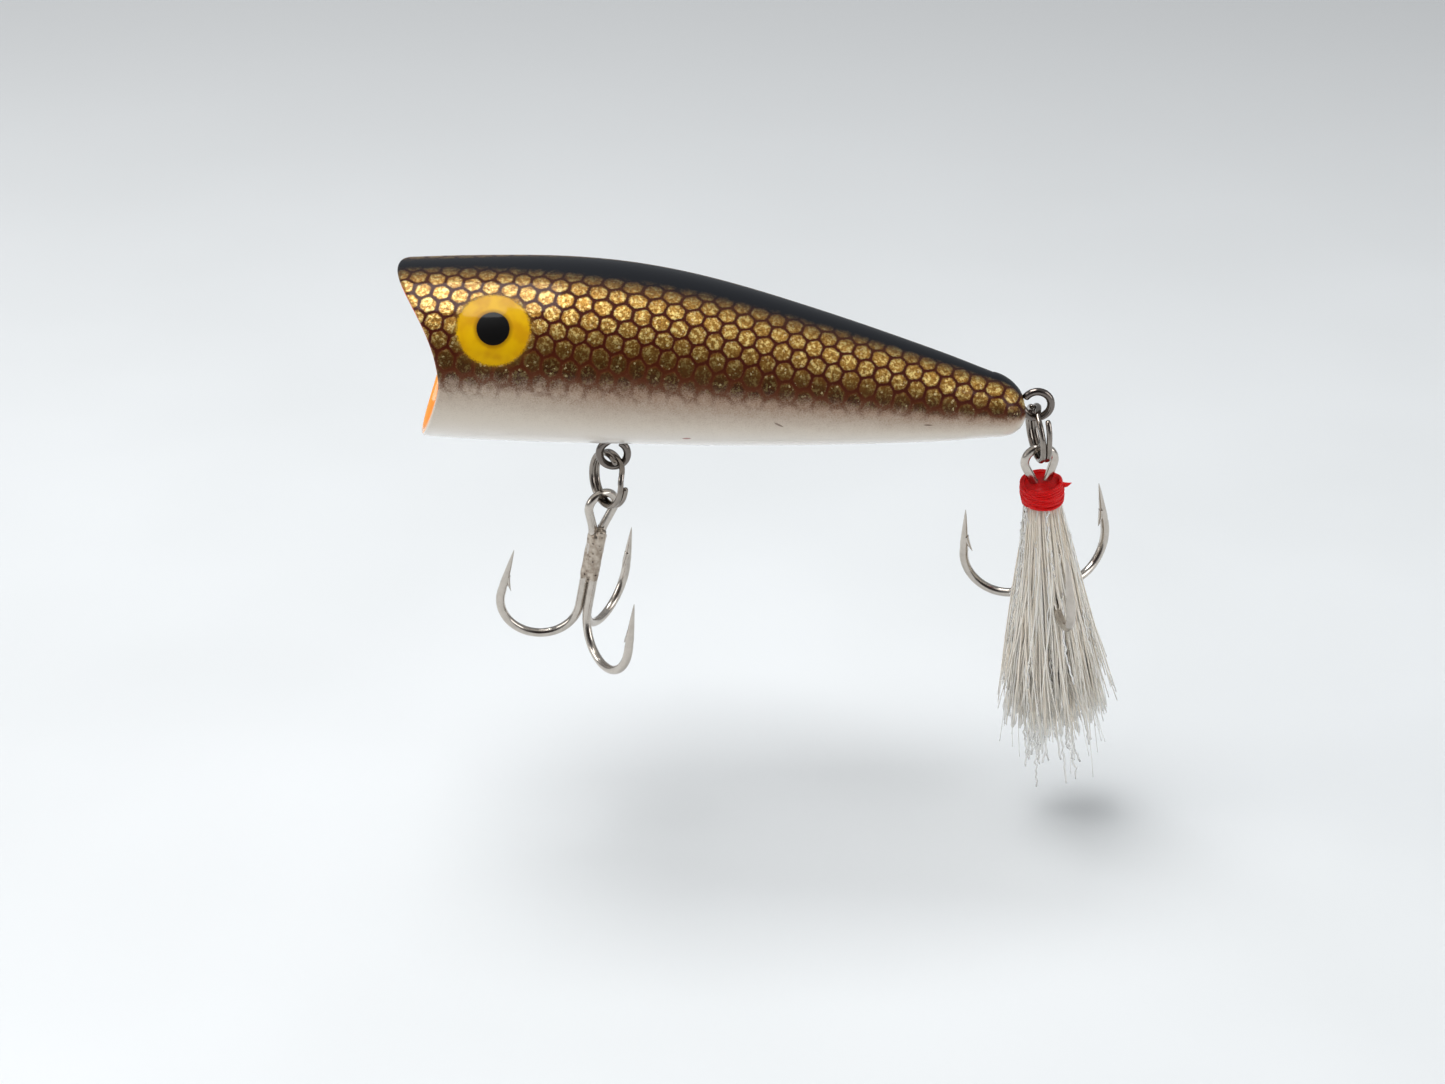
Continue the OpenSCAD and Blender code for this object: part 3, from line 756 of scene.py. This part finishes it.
def prong_path(azimuth, top):
    """Stations of one prong from its shank's top to its point, with the distance left to the point."""
    centre_r = SHANK_R + BEND_R
    stations = [(SHANK_R, s) for s in np.arange(top, BEND_S, 0.35)]
    for a in np.radians(np.arange(180, -TURN_IN, -4.0)):
        stations.append((centre_r + BEND_R * math.cos(a), BEND_S + BEND_R * math.sin(a)))
    turn_cos, turn_sin = math.cos(math.radians(TURN_IN)), math.sin(math.radians(TURN_IN))
    leg_r = centre_r + BEND_R * turn_cos
    leg_s = BEND_S - BEND_R * turn_sin
    left = np.concatenate([np.arange(POINT_LENGTH, 0.12, -0.1), [0.12, 0.06, 0.0]])
    run = POINT_LENGTH - left
    stations += list(zip(leg_r - run * turn_sin, leg_s - run * turn_cos))
    stations = np.array(stations)
    to_go = np.full(len(stations), NOT_THE_POINT)
    to_go[-len(left):] = left
    a = math.radians(azimuth)
    path = np.stack([stations[:, 0] * math.cos(a), stations[:, 0] * math.sin(a), -stations[:, 1]], -1)
    return path, to_go


def point_radius(to_go):
    """Radius of the wire, which narrows to the point."""
    cone = np.clip(to_go / CONE_LENGTH, 0, 1)
    return WIRE_R * np.where(to_go > CONE_LENGTH, 1.0, 0.05 + 0.95 * cone**0.8)


def barb(path, to_go, azimuth, shapes):
    """The cut barb: a thin curved sliver that stands off the inner side and points back down the wire."""
    a = math.radians(azimuth)
    inward = np.array([-math.cos(a), -math.sin(a), 0.0])
    side = np.array([-math.sin(a), math.cos(a), 0.0])
    order = np.argsort(to_go)
    sliver = []
    for t in np.linspace(0, 1, 12):
        where = BARB_FROM + BARB_LENGTH * t
        base = np.array([np.interp(where, to_go[order], path[order, k]) for k in range(3)])
        lift = float(point_radius(np.array([where]))[0]) * 0.5 + BARB_LIFT * t**1.5
        sliver.append((base + inward * lift, 0.3 * (1 - t**3) + 0.015, 0.24 * (1 - t**1.6) + 0.015))
    points, faces = [], tube_faces(len(sliver), 10)
    angles = np.arange(10) * 2 * math.pi / 10
    for centre, wide, thick in sliver:
        points.append(centre + np.outer(np.cos(angles) * thick, inward) + np.outer(np.sin(angles) * wide, side))
    shapes.add(np.vstack(points), faces)


def prong_radius(to_go):
    """The wire's radius with the nick that the cut of the barb leaves."""
    cut = np.exp(-(((to_go - NICK_AT) / NICK_HALF) ** 2))
    return point_radius(to_go) * (1 - NICK_DEPTH * cut)


def double_hook_shape():
    """One wire: up from the left point, over the eye and down to the right point."""
    back, foot_y = -SHANK_R * math.cos(math.radians(60)), SHANK_R * math.sin(math.radians(60))
    centre_s = WIRE_R + HOOK_EYE_R
    drop = EYE_FOOT_S - centre_s
    half_turn = 180 - math.degrees(math.atan(foot_y / drop)) - math.degrees(
        math.acos(HOOK_EYE_R / math.hypot(foot_y, drop)))

    def foot(sign):
        foot_at = np.array([sign * foot_y, EYE_FOOT_S])
        touch = np.array([sign * HOOK_EYE_R * math.sin(math.radians(half_turn)),
                          centre_s - HOOK_EYE_R * math.cos(math.radians(half_turn))])
        straight = np.array([touch + (foot_at - touch) * t for t in np.linspace(0.08, 0.7, 7)])
        before, after = straight[-1], foot_at + [0, 0.7]
        t = np.linspace(0, 1, 8)[1:, None]
        bend = before * (1 - t) ** 2 + 2 * foot_at * t * (1 - t) + after * t**2
        flat = np.vstack([straight, bend])
        return np.stack([np.full(len(flat), back), flat[:, 0], -flat[:, 1]], -1)

    angles = np.radians(np.linspace(-half_turn, half_turn, 60))
    over = np.stack([np.full(len(angles), back), HOOK_EYE_R * np.sin(angles),
                     HOOK_EYE_R * np.cos(angles) - centre_s], -1)
    shapes = Shapes()
    left, left_go = prong_path(-120, EYE_FOOT_S + 0.95)
    right, right_go = prong_path(120, EYE_FOOT_S + 0.95)
    path = np.vstack([left[::-1], foot(-1)[::-1], over, foot(1), right])
    middle = np.full(len(path) - len(left) - len(right), NOT_THE_POINT)
    to_go = np.concatenate([left_go[::-1], middle, right_go])
    shapes.add(*sweep(path, prong_radius(to_go), 20, up=(1, 0, 0)))
    barb(left, left_go, -120, shapes)
    barb(right, right_go, 120, shapes)
    return shapes


def single_hook_shape():
    """The third prong, brazed to the other two along its shank."""
    shapes = Shapes()
    path, to_go = prong_path(0, 5.5)
    radius = prong_radius(to_go)
    radius[:2] = WIRE_R * np.array([0.5, 0.9])
    shapes.add(*sweep(path, radius, 20, up=(0, 1, 0)))
    barb(path, to_go, 0, shapes)
    return shapes


def braze_shape(seed):
    """A skin of brazing that fills the valleys between the three shanks, thin and ragged at its ends."""
    rng = np.random.default_rng(seed)
    top, bottom, rings, sides = 4.75, 11.6, 70, 60
    angles = np.arange(sides) * 2 * math.pi / sides
    off = (angles + math.pi / 3) % (2 * math.pi / 3) - math.pi / 3
    under_root = WIRE_R**2 - (SHANK_R * np.sin(off)) ** 2
    wire = np.where(under_root > 0, SHANK_R * np.cos(off) + np.sqrt(np.maximum(under_root, 0)), 0)
    lumps = [(rng.uniform(top, bottom), rng.uniform(0, 2 * math.pi), rng.uniform(0.3, 0.8),
              rng.uniform(-0.06, 0.07)) for _ in range(26)]
    points = []
    for s in np.linspace(top, bottom, rings):
        near_end = min(smooth(s, top, top + 0.9), 1 - smooth(s, bottom - 1.6, bottom))
        valley = 0.35 + 0.5 * near_end
        r = np.maximum(wire, valley) + 0.035 * near_end - 0.03 * (1 - near_end)
        for at, turn, size, lift in lumps:
            round_by = np.abs((angles - turn + math.pi) % (2 * math.pi) - math.pi)
            far = np.hypot((s - at) / size, round_by / (size * 1.1))
            r = r + lift * np.exp(-(far**2)) * near_end
        points.append(np.stack([r * np.cos(angles), r * np.sin(angles), np.full(sides, -s)], -1))
    faces = [f[::-1] for f in tube_faces(rings, sides)]
    return np.vstack(points), faces


def make_treble(which, hook_wire, braze_skin):
    turn, origin = treble_frame(which)
    body = f"{which}_hook"
    for kind, shapes in (("double", double_hook_shape()), ("single", single_hook_shape())):
        make_piece(f"{which}_{kind}_hook_wire", shapes.all_points() @ turn.T + origin, shapes.faces, hook_wire,
                   body, (f"{which}_{kind}_hook",))
    points, faces = braze_shape(BRAZE_SEED[which])
    make_piece(f"{which}_braze_skin", points @ turn.T + origin, faces, braze_skin, body,
               (f"{which}_braze",))


# ---------------------------------------------------------------- dressing on the tail hook

def make_wrap(material):
    """Thread wound over the shank: a core, three crossing layers of turns, and a tag end."""
    rng = np.random.default_rng(WRAP_SEED)
    turn, origin = treble_frame("tail")
    shapes = Shapes()
    middle, half = (WRAP_TOP + WRAP_BOTTOM) / 2, (WRAP_BOTTOM - WRAP_TOP) / 2

    def barrel(s):
        return WRAP_R * (0.93 + 0.07 * np.sqrt(np.maximum(1 - ((s - middle) / half) ** 2, 0)))

    core_s = np.linspace(WRAP_TOP + 0.15, WRAP_BOTTOM - 0.1, 14)
    core = np.stack([0 * core_s, 0 * core_s, -core_s], -1)
    shapes.add(*sweep(core, barrel(core_s) - 0.16, 40, up=(1, 0, 0)))
    for layer, (turns, tilt, lift, thick) in enumerate(WRAP_LAYERS):
        t = np.linspace(0, 1, turns * 40)
        a = t * turns * 2 * math.pi + layer
        squeeze = 0.9 - 0.1 * layer
        s = middle + half * squeeze * (2 * t - 1)
        wobble = np.interp(t * turns, np.arange(turns + 1), rng.normal(0, 0.05, turns + 1))
        s = np.clip(s + tilt * np.cos(a - 0.6) + wobble, WRAP_TOP + 0.05, WRAP_BOTTOM - 0.05)
        r = barrel(s) + lift - 0.09 + 0.02 * np.sin(3 * a + layer)
        path = np.stack([r * np.cos(a), r * np.sin(a), -s], -1)
        shapes.add(*sweep(path, thick, 8, up=(0, 0, 1)))
    tag = np.array([[0.3, 1.8, -4.9], [0.4, 2.2, -5.1], [0.5, 2.6, -5.1], [0.55, 3.1, -4.95]])
    shapes.add(*sweep(tag, [0.3, 0.34, 0.24, 0.03], 8, up=(1, 0, 0)))
    make_piece("thread_winding", shapes.all_points() @ turn.T + origin, shapes.faces, material, "tail_hook",
               ("thread_wrap",))


def hook_centres():
    """Points along the three prongs, which the strands pass beside."""
    return np.vstack([prong_path(azimuth, 7.0)[0] for azimuth in (0, 120, -120)])


def push_clear(path, obstacles, clear):
    """Moves the points of a strand sideways so that they pass beside the hooks."""
    for i, p in enumerate(path):
        away = p - obstacles
        away[:, 2] *= 0.25
        far = np.linalg.norm(away, axis=1)
        k = int(np.argmin(far))
        if far[k] < clear:
            away_flat = away[k] * [1, 1, 0]
            size = np.linalg.norm(away_flat)
            if size > 1e-6:
                path[i] = p + away_flat / size * (clear - far[k])
    return path


def strand_shade(random, down):
    """The strand attribute of some points: a random shade and how far down the strand each is."""
    return np.stack([np.full(len(down), random), down, np.zeros(len(down))], -1)


def hair_strands(rng, obstacles):
    """Tubes that start in the wrap and fan out, and the strand attribute of their points."""
    shapes, shade = Shapes(), []
    locks = rng.uniform(0, 2 * math.pi, HAIR_LOCKS)
    for _ in range(HAIR_COUNT):
        lock = locks[rng.integers(len(locks))]
        a = lock + 0.5 * rng.normal()
        q = math.sqrt(rng.uniform(0.12, 1))
        length = rng.uniform(*HAIR_LENGTHS)
        t = np.linspace(0, 1, HAIR_STATIONS)
        spread = (HAIR_ROOT_R + (HAIR_END_R - HAIR_ROOT_R) * t ** rng.uniform(0.85, 1.25)) * q
        spread = spread * (1 + 0.12 * rng.normal() * t)
        gather = (lock - a) * 0.4 * t**1.5
        twist = a + gather + 0.16 * rng.normal() * t + 0.35 * math.sin(lock * 7) * t * q
        phase = rng.uniform(0, 2 * math.pi, 2)
        sway = HAIR_WAVE * t * np.sin(t * rng.uniform(3, 7) + phase[0])
        x = spread * np.cos(twist) + sway * math.cos(phase[1])
        y = spread * np.sin(twist) + sway * math.sin(phase[1])
        s = HAIR_TOP + length * t
        path = push_clear(np.stack([x, y, -s], -1), obstacles, HAIR_CLEAR)
        thick = np.interp(t, [0, 0.75, 1], [STRAND_R[0], STRAND_R[0] * 0.85, STRAND_R[1]])
        shapes.add(*sweep(path, thick, STRAND_SIDES, up=STRAND_UP))
        shade.append(strand_shade(rng.uniform(), np.repeat(t, STRAND_SIDES)))
    return shapes, shade


def uneven_round(rng, angles, knots, low, high):
    """A random value that changes smoothly round a circle."""
    values = rng.uniform(low, high, knots)
    return np.interp(angles, np.linspace(0, 2 * math.pi, knots + 1), np.append(values, values[0]))


def make_hair(material):
    """The bundle of hair: its strands and, inside them, one packed under-layer."""
    rng = np.random.default_rng(HAIR_SEED)
    turn, origin = treble_frame("tail")
    shapes, shade = hair_strands(rng, hook_centres())

    # The under-layer is grooved along its length and ragged at its end
    sides, rings = 96, 24
    a = np.arange(sides) * 2 * math.pi / sides
    groove = uneven_round(rng, a, 48, 0.78, 1.0)
    reach = uneven_round(rng, a, 32, 17.5, 22.5)
    layer = []
    down = np.linspace(0, 1, rings)
    for t in down:
        r = CORE_ROOT_R + (HAIR_END_R * CORE_SPREAD - CORE_ROOT_R) * t * reach / HAIR_LENGTH
        r = r * groove * (1 - 0.75 * smooth(t, 0.72, 1.0))
        turned = a + 0.12 * t
        layer.append(np.stack([r * np.cos(turned), r * np.sin(turned), -HAIR_TOP - reach * t], -1))
    shapes.add(np.vstack(layer), [f[::-1] for f in tube_faces(rings, sides)])
    shade.append(strand_shade(0.35, np.repeat(down, sides)))
    make_piece("hair_bundle", shapes.all_points() @ turn.T + origin, shapes.faces, material, "tail_hook",
               ("hair_dressing",), {"strand": np.vstack(shade)})


def crinkle_path(rng, base, amount, pitch):
    """Adds the sharp zigzag of crimped film to a path."""
    run = np.concatenate([[0], np.cumsum(np.linalg.norm(np.diff(base, axis=0), axis=1))])
    fine = np.arange(0, run[-1], pitch)
    path = np.stack([np.interp(fine, run, base[:, k]) for k in range(3)], -1)
    kick = rng.normal(0, amount, (len(path), 3)) * [1, 1, 0.3]
    kick[0::2] *= -0.6
    return path + kick


def make_tinsel(material):
    """Crimped strips of film, some of them long, and a few stray hairs."""
    rng = np.random.default_rng(TINSEL_SEED)
    turn, origin = treble_frame("tail")
    obstacles = hook_centres()
    shapes, shade = Shapes(), []
    for k in range(TINSEL_COUNT):
        long = k < TINSEL_LONG
        a = rng.normal(math.radians(215), 0.9) if k % 3 else rng.uniform(0, 2 * math.pi)
        q = rng.uniform(0.55, 1.0)
        length = rng.uniform(30, TINSEL_REACH - HAIR_TOP) if long else rng.uniform(20, 29)
        t = np.linspace(0, 1, 14)
        end_r = rng.uniform(2.5, 5.6) if long else HAIR_END_R * 1.02
        spread = (TINSEL_ROOT_R + (end_r - TINSEL_ROOT_R) * t ** rng.uniform(0.8, 1.2)) * q
        droop = 0.9 * np.sin(t * rng.uniform(3, 9) + rng.uniform(0, 6)) * t**2
        turn_a = a + 0.5 * rng.normal() * t**2
        base = np.stack([spread * np.cos(turn_a) + droop, spread * np.sin(turn_a) - droop * 0.6,
                         -HAIR_TOP - length * t], -1)
        path = crinkle_path(rng, push_clear(base, obstacles, TINSEL_CLEAR), 0.1, 0.5)
        points, faces = sweep(path, TINSEL_R, STRAND_SIDES, up=STRAND_UP, flat=TINSEL_FLAT)
        shapes.add(points, faces)
        shade.append(np.full((len(points), 3), rng.uniform()))
    for _ in range(STRAY_COUNT):
        a, q = rng.uniform(0, 2 * math.pi), rng.uniform(0.7, 1.15)
        length = rng.uniform(24, 36)
        t = np.linspace(0, 1, 30)
        spread = (TINSEL_ROOT_R + (rng.uniform(4.5, 7.0) - TINSEL_ROOT_R) * t) * q
        bow = rng.uniform(0.2, 1.0) * np.sin(t * rng.uniform(4, 10) + rng.uniform(0, 6)) * t
        path = np.stack([spread * np.cos(a) + bow, spread * np.sin(a) - bow, -HAIR_TOP - length * t], -1)
        points, faces = sweep(push_clear(path, obstacles, STRAY_CLEAR), STRAY_R, STRAND_SIDES, up=STRAND_UP)
        shapes.add(points, faces)
        shade.append(np.full((len(points), 3), rng.uniform(0, 0.3)))
    make_piece("tinsel_and_strays", shapes.all_points() @ turn.T + origin, shapes.faces, material, "tail_hook",
               ("tinsel_strands",), {"strand": np.vstack(shade)})


# ---------------------------------------------------------------- camera, lights and floor

ROOM_DARK_FROM = (0.0, -0.85, 0.53)
ROOM_STOPS = ((0.72, (0.5, 0.52, 0.54, 1)), (0.95, (0.06, 0.05, 0.05, 1)))
ROOM_STRENGTH = 0.72
FLOOR_BELOW, FLOOR_HALF = 0.003, 5.0
LAMP_AIM, CARD_AIM = (0.02, 0, -0.02), (0.03, 0, -0.02)


def make_camera():
    """A long lens a foot away, looking down on the lure's left side."""
    pitch, distance, aim = 27.8, 306.0, np.array([25.43, 0.0, -22.1])
    back = np.array([0, -math.cos(math.radians(pitch)), math.sin(math.radians(pitch))])
    data = bpy.data.cameras.new("camera")
    data.sensor_width, data.lens = 36.0, 72.25
    data.clip_start, data.clip_end = 0.01, 20.0
    camera = bpy.data.objects.new("camera", data)
    camera.location = (aim + back * distance) * MM
    camera.rotation_euler = (math.radians(90 - pitch), 0, 0)
    bpy.context.scene.collection.objects.link(camera)
    bpy.context.scene.camera = camera


def area_light(name, place, aim, size, power, colour=(1, 1, 1)):
    """A soft rectangular lamp, in metres and watts."""
    data = bpy.data.lights.new(name, "AREA")
    data.shape = "RECTANGLE"
    data.size, data.size_y = size
    data.energy = power
    data.color = colour
    lamp = bpy.data.objects.new(name, data)
    direction = np.array(aim, float) - np.array(place, float)
    lamp.rotation_euler = Vector(direction).to_track_quat("-Z", "Y").to_euler()
    lamp.location = place
    bpy.context.scene.collection.objects.link(lamp)


def make_world():
    """A pale grey room, darker beyond the camera so that the paint keeps its colour."""
    world = bpy.data.worlds.new("studio")
    bpy.context.scene.world = world
    world.use_nodes = True
    tree = world.node_tree
    background = tree.nodes["Background"]
    coord = tree.nodes.new("ShaderNodeTexCoord")
    dot = tree.nodes.new("ShaderNodeVectorMath")
    dot.operation = "DOT_PRODUCT"
    tree.links.new(coord.outputs["Generated"], dot.inputs[0])
    dark_from = np.array(ROOM_DARK_FROM)
    dot.inputs[1].default_value = dark_from / np.linalg.norm(dark_from)
    ramp = tree.nodes.new("ShaderNodeValToRGB")
    tree.links.new(dot.outputs["Value"], ramp.inputs[0])
    for stop, (position, colour) in zip(ramp.color_ramp.elements, ROOM_STOPS):
        stop.position, stop.color = position, colour
    tree.links.new(ramp.outputs[0], background.inputs["Color"])
    background.inputs["Strength"].default_value = ROOM_STRENGTH


def make_floor():
    """A plain white table just below the lure, with painted shade that greys it far back."""
    low = CAD_BOX[0][2] - FLOOR_BELOW
    n = Nodes("white_table")
    place = n.place()
    _, depth, _ = n.split(place)
    white = n.mix(n.noise(place, 0.02, 2.0), rgb(222, 225, 226), rgb(235, 238, 240))
    # Painted shade: the table greys towards the back, where the lamps' light falls off
    n.set(Base_Color=n.mix(n.step(depth, 40, 330), white, rgb(210, 212, 213)), Roughness=0.6)
    mesh = bpy.data.meshes.new("floor")
    corners = [(x * FLOOR_HALF, y * FLOOR_HALF, low) for x, y in ((-1, -1), (1, -1), (1, 1), (-1, 1))]
    mesh.from_pydata(corners, [], [(0, 1, 2, 3)])
    mesh.materials.append(n.material)
    floor = bpy.data.objects.new("floor", mesh)
    bpy.context.scene.collection.objects.link(floor)


# ---------------------------------------------------------------- the whole lure

make_camera()
make_world()
area_light("overhead", (-0.12, 0.0, 0.55), LAMP_AIM, (0.42, 0.28), 2.7)
area_light("left_window", (-0.55, -0.1, 0.3), LAMP_AIM, (0.3, 0.4), 1.3, (1.0, 0.98, 0.96))
area_light("right_card", (0.55, -0.2, 0.2), CARD_AIM, (0.3, 0.4), 1.0)
make_floor()

make_body(paint_material())

eye_wire = wire_material("dark_nickel", rgb(122, 114, 108), rgb(84, 76, 70), 0.16, 0.35)
ring_wire = wire_material("ring_nickel", rgb(150, 142, 134), rgb(104, 95, 88), 0.13, 0.3)
hook_wire = wire_material("hook_nickel", rgb(198, 190, 181), rgb(160, 150, 140), 0.15, 0.3)
make_screw_eye("line_tie_wire", "line_tie", np.zeros(3), rot_y(90), 6.4, eye_wire)
make_screw_eye("belly_eye_wire", "belly_screw_eye", BELLY_EYE, np.eye(3), 6.4, eye_wire)
make_screw_eye("tail_eye_wire", "tail_screw_eye", TAIL_EYE, rot_y(-90), 5.8, eye_wire)
make_split_ring("belly", 0.0, 60, ring_wire)
make_split_ring("tail", 0.4, 20, ring_wire)

braze_skin = braze_material()
make_treble("belly", hook_wire, braze_skin)
make_treble("tail", hook_wire, braze_skin)
make_wrap(thread_material())
make_hair(hair_material())
make_tinsel(tinsel_material())

ball_steel = steel_material("ball_steel", rgb(205, 207, 210), 0.1)
slug_steel = steel_material("ballast_steel", rgb(150, 150, 153), 0.35)
for node, material in [(f"rattle_ball_{i}", ball_steel) for i in (1, 2, 3)] + [("tail_ballast", slug_steel)]:
    mesh = frame["nodes"][node].data
    mesh.materials.clear()
    mesh.materials.append(material)

scene = bpy.context.scene
scene.view_settings.view_transform = "Standard"
scene.view_settings.look = "None"
scene.view_settings.exposure = 0.0
